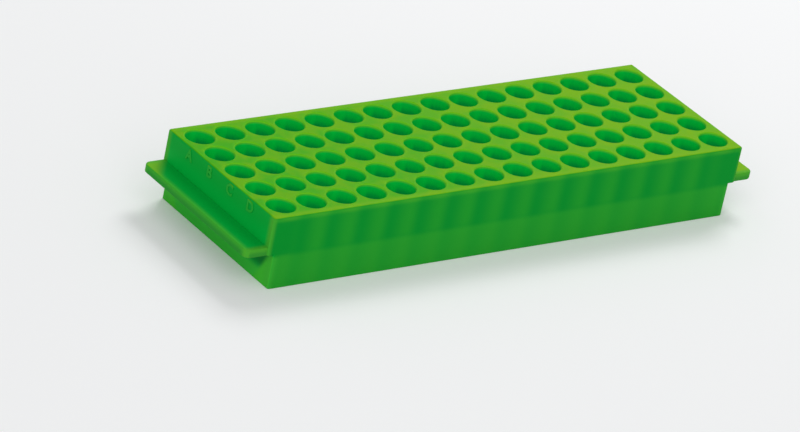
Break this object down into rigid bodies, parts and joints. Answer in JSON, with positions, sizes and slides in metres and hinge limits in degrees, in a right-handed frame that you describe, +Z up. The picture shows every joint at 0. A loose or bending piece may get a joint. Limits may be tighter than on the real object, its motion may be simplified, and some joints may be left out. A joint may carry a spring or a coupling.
{
  "type": "microcentrifuge tube rack",
  "caption": "Long low plastic rack with a grid of round tapered wells for 1.5 ml tubes, an open skirt below and a lifting ledge at each short end.",
  "frame": {"origin": "on the table, under the middle of the rack", "axes": "+X along the rack's length, +Y to its back, +Z up out of the wells"},
  "size_m": [0.226, 0.068, 0.028],
  "materials": {
    "rack": "semi-matte moulded polypropylene, slightly translucent green"
  },
  "bodies": {
    "root": {"rack": "rack"}
  },
  "joints": []
}
